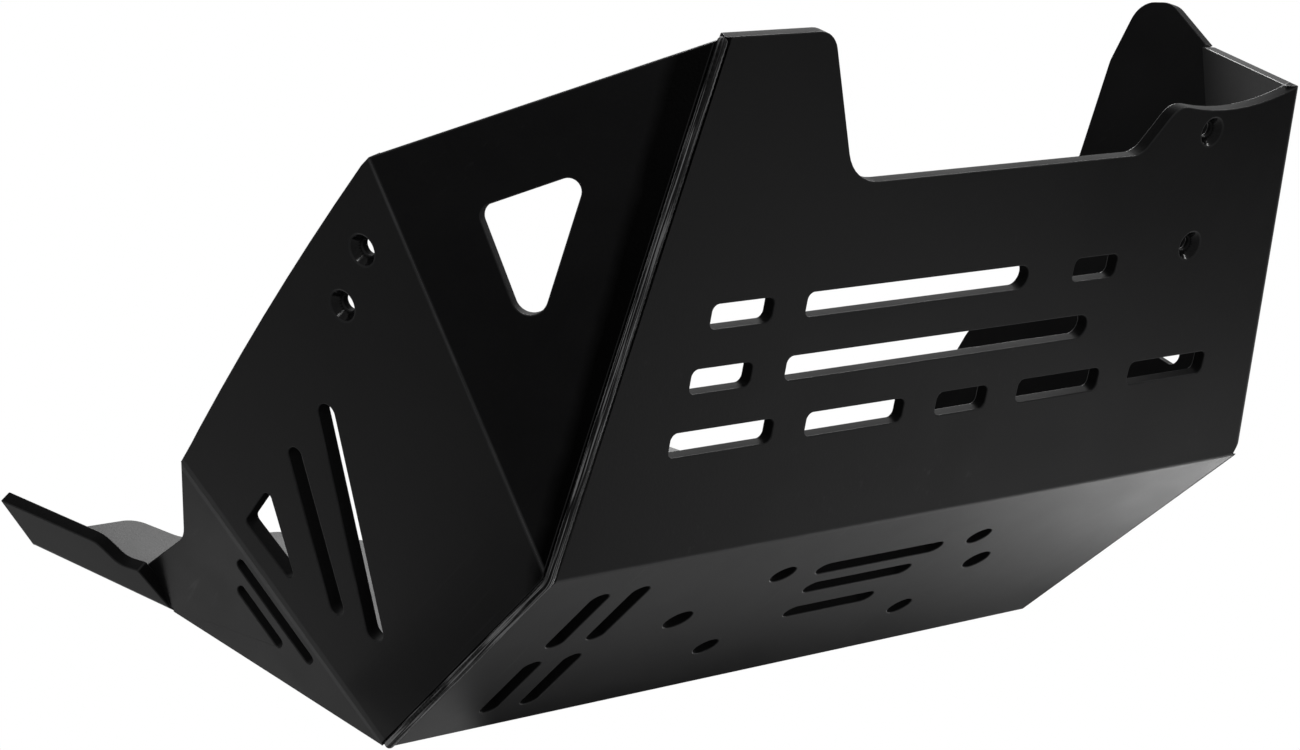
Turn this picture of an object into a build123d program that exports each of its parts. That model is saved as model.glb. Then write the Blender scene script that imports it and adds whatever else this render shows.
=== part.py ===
"""Motorcycle skid plate: a folded polyethylene tray closed on its right by a welded side sheet.

Millimetres, +Z up, +X towards the front wheel, +Y to the rider's left.
The origin is the middle of the four-hole pattern on the underside.
"""
import os
from math import cos, radians, sin, tan

from build123d import *

# sheet, folds and weld
SHEET = 6.0
SIDE_SHEET = 7.0
FOLD_R = 4.0
CREASE_R = 4.0
GROOVE_R = 3.0
BEAD_R = 2.0
BEAD_SINK = 1.4
BEAD_START = 7.0
SEAM_TURN_R = 8.0

# bottom panel
FRONT_X = 67.75
REAR_X = -70.4
RIGHT_Y = -201.6
LEFT_FRONT_Y = 193.0
LEFT_TAPER = 24.0
LEFT_REAR_Y = LEFT_FRONT_Y - LEFT_TAPER

# how far each panel turns out of the one it is folded from, in degrees
FRONT_RISE = 36.0
REAR_RISE = 56.0
RIGHT_LEAN = 15.7
LEFT_LEAN = 12.0
TAIL_TURN = 6.0
FLANGE_BEND = 62.0

# bottom holes and slots
SUMP_X, SUMP_Y = 63.0, 114.0
SUMP_R = 6.0
PAIR_X, PAIR_Y = 5.0, -10.0
PAIR_SPACING = 172.8
PAIR_R = 6.75
DRAIN_X, DRAIN_Y = -3.4, -151.0
DRAIN_PITCH_X, DRAIN_PITCH_Y = 56.25, 20.7
DRAIN_L = 44.0
CROSS_SLOTS = ((28.95, 72.0), (11.25, 61.0), (-11.85, 51.0))
BOTTOM_SLOT_W = 9.0

# front panel outline, (across, up the panel)
TAB_H = 213.4
TAB_OUTER = (RIGHT_Y + 39.9, TAB_H)
TAB_INNER = (RIGHT_Y + 95.0, TAB_H)
TAB_R = 11.0
CUTOUT_H = 150.8
CUTOUT_RIGHT = (RIGHT_Y + 119.6, CUTOUT_H)
CUTOUT_R = 20.0
CUTOUT_LEFT = (LEFT_FRONT_Y - 111.2, CUTOUT_H)
RAMP_TOP = (LEFT_FRONT_Y - 93.6, 171.6)
RAMP_R = 11.0
DIP = (LEFT_FRONT_Y - 60.5, 167.6)
FRONT_LEFT_TOP = (LEFT_FRONT_Y - 19.2, 175.6)

# front slots: rows by height up the panel, each slot as (middle, length)
SLOT_W = 10.3
SLOT_R = 3.0
ROW_TOP, ROW_MID, ROW_LOW = 102.0, 75.8, 49.9
TOP_SLOTS = ((-127.5, 31.3), (68.4, 26.0))
MID_SLOTS = ((-132.3, 30.9),)
LOW_SLOTS = ((-126.3, 52.6), (-55.8, 53.2), (3.9, 29.0), (61.2, 49.0), (129.0, 48.4))
TOP_LONG = (-32.9, 122.8)
MID_LONG = (-13.9, 170.2)

# countersunk screw holes
SCREW_R = 3.25
SINK_R = 6.5
FRONT_SCREWS = ((LEFT_FRONT_Y - 69.8, 158.1), (LEFT_FRONT_Y - 67.1, 106.6))
RIGHT_SCREWS = ((28.4, 141.6), (0.8, 133.8))

# right wall outline, (forward, up the wall) from the front lower corner
RIGHT_REAR_TOP = (REAR_X - FRONT_X + 2.1, 146.0)
RIGHT_TOP_MIDDLE = (-37.6, 157.1)
RIGHT_TOP_BEND = (55.9, 163.0)
RIGHT_TOP_R = 8.0
RIGHT_FRONT_TOP = (61.6, 162.6)
RIGHT_SLOTS = ((-72.5, 73.9, 101.0, 9.1, 53.1), (-92.65, 82.6, 72.0, 7.6, 57.0))
RIGHT_WINDOW = ((-100.5, 110.0), (-125.0, 108.4), (-124.0, 72.0))
RIGHT_WINDOW_R = 2.5

# corner window, (along the seam, away from the seam)
CORNER_WINDOW = ((126.8, 68.9), (154.5, 33.0))
CORNER_WINDOW_R = 5.0
CORNER_TIP = (82.3, 33.0)
CORNER_TIP_R = 7.0

# tail of the right wall, (forward, up) from its lower front corner
TAIL_NOTCH = (-32.3, 125.2)
TAIL_TOP = (-69.3, 130.9)
TAIL_NOTCH_R = 12.0
TAIL_SLOTS = ((-8.5, 73.6, 52.3), (-20.1, 77.2, 30.6))
TAIL_SLOT_W = 6.0
TAIL_SLOT_R = 2.5

# rear panel outline, (to the right, up the panel)
REAR_TAB_H = 201.9
REAR_CUTOUT_H = 150.0
REAR_STEP_H = 171.0
REAR_SEAM_TOP = (22.2 - RIGHT_Y, 129.7)
REAR_TAB_OUTER = (49.1 - RIGHT_Y, REAR_TAB_H)
REAR_TAB_INNER = (-0.7 - RIGHT_Y, REAR_TAB_H)
REAR_STEP = ((-11.9 - RIGHT_Y, 178.8), (-57.6 - RIGHT_Y, REAR_STEP_H), (-93.6 - RIGHT_Y, REAR_CUTOUT_H))
REAR_LEFT_TAB = (
    (107.0 - LEFT_REAR_Y, REAR_CUTOUT_H),
    (95.0 - LEFT_REAR_Y, REAR_TAB_H),
    (73.4 - LEFT_REAR_Y, REAR_TAB_H),
    (57.0 - LEFT_REAR_Y, REAR_STEP_H),
)
REAR_R = 10.0

# outward flange on the rear panel, (down its fold, away from the fold)
FLANGE_WELD = (62.0, 18.5)
FLANGE_STEP = ((51.5, 16.4), (41.0, 25.0))
FLANGE_TIP = (-12.7, 23.2)
FLANGE_STEP_R = 8.0

# left wall outline, (rearward, up the wall) from the front lower corner
LEFT_SEAM_L = 117.0
LEFT_STEP = ((110.4, 140.0), (76.0, 139.5), (14.5, 178.2))
LEFT_HUMP = ((-21.0, 209.2), (-48.4, 224.2), (-63.5, 212.0))
LEFT_EDGE_R = 14.0
LEFT_FRONT_TOP = (-71.4, 181.2)
LEFT_SLOT = (24.8, 85.0)
LEFT_SLOT_L, LEFT_SLOT_W, LEFT_SLOT_ANGLE = 70.0, 8.7, 58.0


def flat(plane, *points):
    """Return points in space as flat coordinates on a plane."""
    return [tuple(plane.to_local_coords(point))[:2] for point in points]


def sunk(point, *outward):
    """Return a point moved into the corner between panels, by their outward directions."""
    return point - sum(outward, Vector()).normalized() * BEAD_SINK


# panel planes, each on the outer face and facing outwards
underside = Vector(0, 0, -1)
front_right = Vector(FRONT_X, RIGHT_Y, 0)
front_left = Vector(FRONT_X, LEFT_FRONT_Y, 0)
rear_right = Vector(REAR_X, RIGHT_Y, 0)
rear_left = Vector(REAR_X, LEFT_REAR_Y, 0)

front = Plane(
    origin=(FRONT_X, 0, 0),
    x_dir=(0, 1, 0),
    z_dir=(sin(radians(FRONT_RISE)), 0, -cos(radians(FRONT_RISE))),
)
rear = Plane(
    origin=(REAR_X, 0, 0),
    x_dir=(0, -1, 0),
    z_dir=(-sin(radians(REAR_RISE)), 0, -cos(radians(REAR_RISE))),
)
right = Plane(
    origin=front_right,
    x_dir=(1, 0, 0),
    z_dir=(0, -cos(radians(RIGHT_LEAN)), -sin(radians(RIGHT_LEAN))),
)
left_run = (rear_left - front_left).normalized()
left_level = Vector(0, 0, 1).cross(left_run) * -1
left = Plane(
    origin=front_left,
    x_dir=left_run,
    z_dir=left_level * cos(radians(LEFT_LEAN)) - Vector(0, 0, sin(radians(LEFT_LEAN))),
)

tab_outer = front.from_local_coords(Vector(*TAB_OUTER, 0))
front_left_top = front.from_local_coords(Vector(*FRONT_LEFT_TOP, 0))
left_front_top = left.from_local_coords(Vector(*LEFT_FRONT_TOP, 0))
left_seam_top = rear_left + left.z_dir.cross(rear.z_dir).normalized() * LEFT_SEAM_L
right_front_top = right.from_local_coords(Vector(*RIGHT_FRONT_TOP, 0))
right_rear_top = right.from_local_coords(Vector(*RIGHT_REAR_TOP, 0))
rear_seam_top = rear.from_local_coords(Vector(*REAR_SEAM_TOP, 0))
rear_tab_outer = rear.from_local_coords(Vector(*REAR_TAB_OUTER, 0))

right_corner = Plane(
    origin=front_right,
    x_dir=tab_outer - front_right,
    z_dir=(tab_outer - front_right).cross(right_front_top - front_right),
)
left_corner = Plane(
    origin=front_left,
    x_dir=left_front_top - front_left,
    z_dir=(left_front_top - front_left).cross(front_left_top - front_left),
)
tail_up = (right_rear_top - rear_right).normalized()
tail_out = right.z_dir.rotate(Axis((0, 0, 0), tail_up), -TAIL_TURN)
tail = Plane(origin=rear_right, x_dir=tail_up.cross(tail_out), z_dir=tail_out)
flange_down = (rear_seam_top - rear_tab_outer).normalized()
flange = Plane(
    origin=rear_tab_outer,
    x_dir=flange_down,
    z_dir=rear.z_dir.rotate(Axis((0, 0, 0), flange_down), -FLANGE_BEND),
)

# fold lines with the outward directions of the two panels they join, and the outer radius
folds = (
    (front_right, front_left, underside, front.z_dir, FOLD_R),
    (rear_right, rear_left, underside, rear.z_dir, FOLD_R),
    (front_left, rear_left, underside, left.z_dir, FOLD_R),
    (front_left, front_left_top, front.z_dir, left_corner.z_dir, FOLD_R),
    (rear_tab_outer, rear_seam_top, rear.z_dir, flange.z_dir, FOLD_R),
    (front_right, right_front_top, right.z_dir, right_corner.z_dir, CREASE_R),
    (rear_right, right_rear_top, right.z_dir, tail.z_dir, CREASE_R),
)

# slivers that round the outside of every fold
with BuildPart() as fold_rounding:
    for start, end, out_a, out_b, radius in folds:
        turn = radians(out_a.get_angle(out_b)) / 2
        inward = (out_a + out_b).normalized() * -1
        reach = radius * tan(turn)
        with BuildSketch(Plane(origin=start, x_dir=inward, z_dir=end - start)):
            with BuildLine():
                tangents = [(reach * sin(turn), side * reach * cos(turn)) for side in (1, -1)]
                ThreePointArc(tangents[0], (radius / cos(turn) - radius, 0), tangents[1])
                Polyline(tangents[1], (-1, 0), tangents[0])
            make_face()
        extrude(amount=(end - start).length)

# open outer edges that are welded, and the grooves cut along them
with BuildPart() as grooves:
    with BuildLine() as right_edge:
        FilletPolyline(tab_outer, front_right, rear_right, radius=SEAM_TURN_R)
    with BuildSketch(Plane(origin=tab_outer, z_dir=front_right - tab_outer)):
        Circle(GROOVE_R)
    sweep(path=right_edge.wires()[0])
    for start, end in ((front_left, left_front_top), (rear_left, left_seam_top)):
        with BuildSketch(Plane(origin=start, z_dir=end - start)):
            Circle(GROOVE_R)
        extrude(amount=(end - start).length)

# weld beads, each a round run of filler laid in a groove
right_start = sunk(tab_outer, front.z_dir, right_corner.z_dir)
right_front = sunk(front_right, underside, front.z_dir, right_corner.z_dir, right.z_dir)
right_rear = sunk(rear_right, underside, right.z_dir)
with BuildPart() as seam_right:
    with BuildLine() as right_path:
        FilletPolyline(right_start, right_front, right_rear, radius=SEAM_TURN_R)
    with BuildSketch(Plane(origin=right_start, z_dir=right_front - right_start)):
        Circle(BEAD_R)
    sweep(path=right_path.wires()[0])
    with Locations(right_rear):
        Sphere(BEAD_R)

left_run_up = (left_front_top - front_left).normalized()
with BuildPart() as seam_left_front:
    with BuildSketch(
        Plane(
            origin=sunk(front_left, left.z_dir, left_corner.z_dir) + left_run_up * BEAD_START,
            z_dir=left_run_up,
        )
    ):
        Circle(BEAD_R)
    extrude(amount=(left_front_top - front_left).length - 1.5 * BEAD_START)

rear_run_up = (left_seam_top - rear_left).normalized()
with BuildPart() as seam_left_rear:
    with BuildSketch(
        Plane(
            origin=sunk(rear_left, left.z_dir, rear.z_dir) + rear_run_up * BEAD_START,
            z_dir=rear_run_up,
        )
    ):
        Circle(BEAD_R)
    extrude(amount=LEFT_SEAM_L - 1.5 * BEAD_START)

# tray: bottom, front with its left corner, rear with its flange, and left wall
with BuildPart() as tray:
    with BuildSketch():
        with BuildLine():
            Polyline(
                (FRONT_X, RIGHT_Y),
                (FRONT_X, LEFT_FRONT_Y),
                (REAR_X, LEFT_REAR_Y),
                (REAR_X, RIGHT_Y),
                close=True,
            )
        make_face()
    extrude(amount=SHEET)

    with BuildSketch(front) as front_face:
        with BuildLine():
            Polyline((RIGHT_Y, 0), TAB_OUTER, TAB_INNER, CUTOUT_RIGHT, CUTOUT_LEFT, RAMP_TOP)
            ThreePointArc(RAMP_TOP, DIP, FRONT_LEFT_TOP)
            Polyline(FRONT_LEFT_TOP, (LEFT_FRONT_Y, 0), (RIGHT_Y, 0))
        make_face()
        for corner, radius in (
            (TAB_INNER, TAB_R),
            (CUTOUT_RIGHT, CUTOUT_R),
            (CUTOUT_LEFT, RAMP_R),
            (RAMP_TOP, RAMP_R),
        ):
            fillet(front_face.vertices().sort_by_distance(corner)[0], radius)
    extrude(amount=-SHEET)

    with BuildSketch(left_corner):
        with BuildLine():
            Polyline(*flat(left_corner, front_left, left_front_top, front_left_top), close=True)
        make_face()
    extrude(amount=-SHEET)

    with BuildSketch(rear) as rear_face:
        with BuildLine():
            Polyline(
                (-RIGHT_Y, 0),
                REAR_SEAM_TOP,
                REAR_TAB_OUTER,
                REAR_TAB_INNER,
                *REAR_STEP,
                *REAR_LEFT_TAB,
                flat(rear, left_seam_top)[0],
                (-LEFT_REAR_Y, 0),
                close=True,
            )
        make_face()
        for corner in (REAR_TAB_INNER, *REAR_STEP, *REAR_LEFT_TAB):
            fillet(rear_face.vertices().sort_by_distance(corner)[0], REAR_R)
    extrude(amount=-SHEET)

    with BuildSketch(flange) as flange_face:
        with BuildLine():
            Polyline(
                (0, 0),
                flat(flange, rear_seam_top)[0],
                FLANGE_WELD,
                *FLANGE_STEP,
                FLANGE_TIP,
                close=True,
            )
        make_face()
        for corner in FLANGE_STEP:
            fillet(flange_face.vertices().sort_by_distance(corner)[0], FLANGE_STEP_R)
    extrude(amount=-SHEET)

    with BuildSketch(left) as left_face:
        with BuildLine():
            Polyline(
                (0, 0),
                *flat(left, rear_left, left_seam_top),
                *LEFT_STEP,
                *LEFT_HUMP,
                LEFT_FRONT_TOP,
                close=True,
            )
        make_face()
        for corner in (*LEFT_STEP, *LEFT_HUMP):
            fillet(left_face.vertices().sort_by_distance(corner)[0], LEFT_EDGE_R)
        with Locations(LEFT_SLOT):
            SlotOverall(LEFT_SLOT_L, LEFT_SLOT_W, rotation=LEFT_SLOT_ANGLE, mode=Mode.SUBTRACT)
    extrude(amount=-SHEET)

    # right end of the front panel, mitred against the side sheet
    with BuildSketch(
        Plane(
            origin=front_right,
            x_dir=tab_outer - front_right,
            z_dir=right_corner.z_dir - front.z_dir,
        )
    ):
        with Locations((3 * SHEET, 0)):
            Rectangle((tab_outer - front_right).length, 4 * SHEET, align=(Align.MIN, Align.CENTER))
    extrude(amount=2 * SHEET, mode=Mode.SUBTRACT)

    add(fold_rounding.part, mode=Mode.SUBTRACT)

    with BuildSketch(front):
        for row, slots in ((ROW_TOP, TOP_SLOTS), (ROW_MID, MID_SLOTS), (ROW_LOW, LOW_SLOTS)):
            for across, length in slots:
                with Locations((across, row)):
                    RectangleRounded(length, SLOT_W, SLOT_R)
        for (across, length), row in ((TOP_LONG, ROW_TOP), (MID_LONG, ROW_MID)):
            with Locations((across - SLOT_W / 2, row)):
                RectangleRounded(length - SLOT_W, SLOT_W, SLOT_R)
            with Locations((across, row)):
                SlotOverall(length, SLOT_W)
    extrude(amount=2 * SHEET, both=True, mode=Mode.SUBTRACT)

    with BuildSketch():
        with GridLocations(SUMP_X, SUMP_Y, 2, 2):
            Circle(SUMP_R)
        with Locations((PAIR_X, PAIR_Y)):
            with GridLocations(0, PAIR_SPACING, 1, 2):
                Circle(PAIR_R)
        with Locations((DRAIN_X, DRAIN_Y)):
            with GridLocations(DRAIN_PITCH_X, DRAIN_PITCH_Y, 2, 2):
                SlotOverall(DRAIN_L, BOTTOM_SLOT_W)
        for along, length in CROSS_SLOTS:
            with Locations((along, 0)):
                SlotOverall(length, BOTTOM_SLOT_W, rotation=90)
    extrude(amount=2 * SHEET, both=True, mode=Mode.SUBTRACT)

    with Locations(front.location):
        with Locations(*FRONT_SCREWS):
            CounterSinkHole(SCREW_R, SINK_R, depth=2 * SHEET)

    add(grooves.part, mode=Mode.SUBTRACT)
    add(seam_right.part, mode=Mode.SUBTRACT)
    add(seam_left_front.part, mode=Mode.SUBTRACT)
    add(seam_left_rear.part, mode=Mode.SUBTRACT)

# right side sheet: wall, front corner and tail, standing on the tray's edges
with BuildPart() as side_sheet:
    with BuildSketch(right) as right_face:
        with BuildLine():
            Polyline(RIGHT_TOP_BEND, RIGHT_FRONT_TOP, (0, 0), (REAR_X - FRONT_X, 0), RIGHT_REAR_TOP)
            ThreePointArc(RIGHT_REAR_TOP, RIGHT_TOP_MIDDLE, RIGHT_TOP_BEND)
        make_face()
        fillet(right_face.vertices().sort_by_distance(RIGHT_TOP_BEND)[0], RIGHT_TOP_R)
        for across, up, length, width, angle in RIGHT_SLOTS:
            with Locations((across, up)):
                SlotOverall(length, width, rotation=angle, mode=Mode.SUBTRACT)
        with BuildSketch(mode=Mode.SUBTRACT) as right_window:
            with BuildLine():
                Polyline(*RIGHT_WINDOW, close=True)
            make_face()
            fillet(right_window.vertices(), RIGHT_WINDOW_R)
    extrude(amount=-SIDE_SHEET)

    with BuildSketch(right_corner):
        with BuildLine():
            Polyline(*flat(right_corner, front_right, tab_outer, right_front_top), close=True)
        make_face()
        with BuildSketch(mode=Mode.SUBTRACT) as corner_window:
            with BuildLine():
                Polyline(CORNER_TIP, *CORNER_WINDOW, close=True)
            make_face()
            fillet(corner_window.vertices().sort_by_distance(CORNER_TIP)[0], CORNER_TIP_R)
            for corner in CORNER_WINDOW:
                fillet(corner_window.vertices().sort_by_distance(corner)[0], CORNER_WINDOW_R)
    extrude(amount=-SIDE_SHEET)

    with BuildSketch(tail) as tail_face:
        with BuildLine():
            Polyline(
                (0, 0),
                flat(tail, right_rear_top)[0],
                TAIL_NOTCH,
                TAIL_TOP,
                flat(tail, rear_seam_top)[0],
                close=True,
            )
        make_face()
        fillet(tail_face.vertices().sort_by_distance(TAIL_NOTCH)[0], TAIL_NOTCH_R)
        for across, up, length in TAIL_SLOTS:
            with Locations((across, up)):
                RectangleRounded(TAIL_SLOT_W, length, TAIL_SLOT_R, mode=Mode.SUBTRACT)
    extrude(amount=-SIDE_SHEET)

    add(fold_rounding.part, mode=Mode.SUBTRACT)

    with Locations(right.location):
        with Locations(*RIGHT_SCREWS):
            CounterSinkHole(SCREW_R, SINK_R, depth=2 * SIDE_SHEET)

    add(tray.part, mode=Mode.SUBTRACT)
    add(grooves.part, mode=Mode.SUBTRACT)
    add(seam_right.part, mode=Mode.SUBTRACT)

os.makedirs("parts", exist_ok=True)
tray.part.label = "tray"
side_sheet.part.label = "side_sheet"
seam_right.part.label = "seam_right"
seam_left_front.part.label = "seam_left_front"
seam_left_rear.part.label = "seam_left_rear"
export_step(tray.part, "parts/tray.step")
export_step(side_sheet.part, "parts/side_sheet.step")
export_step(seam_right.part, "parts/seam_right.step")
export_step(seam_left_front.part, "parts/seam_left_front.step")
export_step(seam_left_rear.part, "parts/seam_left_rear.step")
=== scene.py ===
"""Looks of a motorcycle skid plate: folded black polyethylene sheets with hand-laid weld beads."""

import logging
import math
from dataclasses import dataclass
from enum import Enum

import bmesh
import bpy
from mathutils import Matrix, Vector
from mathutils.bvhtree import BVHTree


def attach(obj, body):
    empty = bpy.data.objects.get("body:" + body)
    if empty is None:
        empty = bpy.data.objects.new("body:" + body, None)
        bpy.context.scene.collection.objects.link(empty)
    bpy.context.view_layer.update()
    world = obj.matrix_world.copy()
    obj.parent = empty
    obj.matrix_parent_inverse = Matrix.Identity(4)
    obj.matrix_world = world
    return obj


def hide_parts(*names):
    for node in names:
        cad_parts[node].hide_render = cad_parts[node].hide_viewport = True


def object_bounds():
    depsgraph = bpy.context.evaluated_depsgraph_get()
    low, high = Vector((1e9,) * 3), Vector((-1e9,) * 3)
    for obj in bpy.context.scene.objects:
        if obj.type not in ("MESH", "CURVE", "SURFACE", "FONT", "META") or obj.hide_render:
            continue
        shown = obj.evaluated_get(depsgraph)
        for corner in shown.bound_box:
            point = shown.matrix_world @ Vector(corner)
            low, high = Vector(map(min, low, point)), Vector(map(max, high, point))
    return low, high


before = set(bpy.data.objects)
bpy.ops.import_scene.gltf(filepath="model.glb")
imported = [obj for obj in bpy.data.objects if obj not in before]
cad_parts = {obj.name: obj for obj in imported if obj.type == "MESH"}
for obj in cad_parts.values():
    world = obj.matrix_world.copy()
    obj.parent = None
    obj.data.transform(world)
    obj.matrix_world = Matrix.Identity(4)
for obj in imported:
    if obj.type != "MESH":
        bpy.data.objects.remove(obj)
CAD_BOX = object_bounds()

log = logging.getLogger("skid_plate")

Triple = tuple[float, float, float]
Pair = tuple[float, float]
Line = tuple[Triple, Triple]
Tree = bpy.types.NodeTree
Node = bpy.types.Node
Socket = bpy.types.NodeSocket

SAME_PLACE = 0.00001  # points nearer than this, in metres, are one
SAME_PLANE = math.radians(0.3)  # faces turned by less than this are one
PARALLEL = 0.9995  # cosine past which two directions count as the same
BLUNT = 1.0001  # a shade over one, so that a bead's very end keeps a tiny disc
WHITE = (1.0, 1.0, 1.0, 1.0)


class Zone(Enum):
    """What a face of a sheet is."""

    SKIN = "skin"  # as rolled
    ROUTED = "routed"  # a wall that the cutter left
    SEAT = "seat"  # a countersunk screw seat
    FOLD = "fold"  # stretched over a fold
    EDGE = "edge"  # a broken edge


class Mark(Enum):
    """Names of the values that the meshes hand to the finishes."""

    ROUTED = "routed"
    # Edges and folds lightened, partly by wear and partly as a painted highlight.
    WEAR_AND_HIGHLIGHT = "wear_and_highlight"
    RUN = "run"
    ROUND = "round"


def link(tree: Tree, source: Socket, target: Socket) -> None:
    """Join two sockets of a node tree."""
    tree.links.new(source, target)


def add_node(tree: Tree, kind: str, **values: object) -> Node:
    """Add a node and set its properties and input values.

    Args:
        tree: the tree that takes the node.
        kind: the node's type name.
        values: properties by name, or input values by socket name with spaces as underscores.

    Returns:
        The new node.
    """
    node = tree.nodes.new(kind)
    for name, value in values.items():
        if name in node.bl_rna.properties:
            setattr(node, name, value)
    for name, value in values.items():
        if name not in node.bl_rna.properties:
            node.inputs[name.replace("_", " ")].default_value = value
    return node


def fill_in(tree: Tree, term: Socket | float, place: Socket) -> None:
    """Give an input either a link or a plain number.

    Args:
        tree: the tree that holds the input.
        term: the socket or the number.
        place: the input.
    """
    if isinstance(term, (int, float)):
        place.default_value = term
    else:
        link(tree, term, place)


def maths(tree: Tree, operation: str, *terms: Socket | float, clamp: bool = False) -> Socket:
    """Add a Math node.

    Args:
        tree: the tree that takes the node.
        operation: the Math node's operation.
        terms: sockets or plain numbers, in order.
        clamp: whether the result is kept between 0 and 1.

    Returns:
        The node's output.
    """
    node = add_node(tree, "ShaderNodeMath", operation=operation, use_clamp=clamp)
    for place, term in zip(node.inputs, terms):
        fill_in(tree, term, place)
    return node.outputs[0]


def spread(
    tree: Tree, value: Socket, low: float, high: float, to_low: float = 0.0, to_high: float = 1.0
) -> Socket:
    """Stretch a value from one range to another, held at its ends.

    Args:
        tree: the tree that takes the node.
        value: the socket that is stretched.
        low: the value that gives to_low.
        high: the value that gives to_high.
        to_low: result at low.
        to_high: result at high.

    Returns:
        The node's output.
    """
    node = add_node(tree, "ShaderNodeMapRange", From_Min=low, From_Max=high, To_Min=to_low, To_Max=to_high)
    link(tree, value, node.inputs["Value"])
    return node.outputs["Result"]


def blend_colour(tree: Tree, share: Socket, under: Socket | Triple, over: Socket | Triple) -> Socket:
    """Mix two colours.

    Args:
        tree: the tree that takes the node.
        share: how much of the second colour shows.
        under: the first colour.
        over: the second colour.

    Returns:
        The mixed colour.
    """
    node = add_node(tree, "ShaderNodeMix", data_type="RGBA")
    link(tree, share, node.inputs["Factor"])
    for place, colour in ((node.inputs[6], under), (node.inputs[7], over)):
        if isinstance(colour, tuple):
            place.default_value = (*colour, 1.0)
        else:
            link(tree, colour, place)
    return node.outputs[2]


def noise(tree: Tree, coords: Socket, scale: Socket | float, **values: object) -> Socket:
    """Add a noise texture.

    Args:
        tree: the tree that takes the node.
        coords: the coordinates that it reads.
        scale: how fine it is.
        values: its other settings, as add_node takes them.

    Returns:
        The noise.
    """
    node = add_node(tree, "ShaderNodeTexNoise", **values)
    link(tree, coords, node.inputs["Vector"])
    fill_in(tree, scale, node.inputs["Scale"])
    return node.outputs[0]


def bump(tree: Tree, height: Socket, size: Pair, under: Socket | None = None) -> Socket:
    """Add a Bump node.

    Args:
        tree: the tree that takes the node.
        height: the height that it reads.
        size: its strength, and its depth in metres.
        under: the normal that it is laid on, if there is one.

    Returns:
        The bumped normal.
    """
    node = add_node(tree, "ShaderNodeBump", Strength=size[0], Distance=size[1])
    link(tree, height, node.inputs["Height"])
    if under is not None:
        link(tree, under, node.inputs["Normal"])
    return node.outputs["Normal"]


def mix_shaders(tree: Tree, share: Socket, first: Node, second: Node) -> Socket:
    """Mix two shaders.

    Args:
        tree: the tree that takes the node.
        share: how much of the second shader shows.
        first: the first shader.
        second: the second shader.

    Returns:
        The mixed shader.
    """
    node = tree.nodes.new("ShaderNodeMixShader")
    for place, source in zip(node.inputs, (share, first.outputs[0], second.outputs[0])):
        link(tree, source, place)
    return node.outputs[0]


def object_coords(tree: Tree) -> Socket:
    """Add a node that gives the object's own coordinates, and return them."""
    return tree.nodes.new("ShaderNodeTexCoord").outputs["Object"]


def read_mark(tree: Tree, mark: Mark) -> Socket:
    """Add a node that reads a value from the mesh, and return it."""
    return add_node(tree, "ShaderNodeAttribute", attribute_name=mark.value).outputs["Fac"]


def new_material(name: str, shine: float) -> tuple[bpy.types.Material, Tree, Node]:
    """Start a material.

    Args:
        name: the material's name.
        shine: its specular level.

    Returns:
        The material, its node tree and its shader.
    """
    material = bpy.data.materials.new(name)
    material.use_nodes = True
    shader = material.node_tree.nodes["Principled BSDF"]
    shader.inputs["Specular IOR Level"].default_value = shine
    return material, material.node_tree, shader


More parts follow.
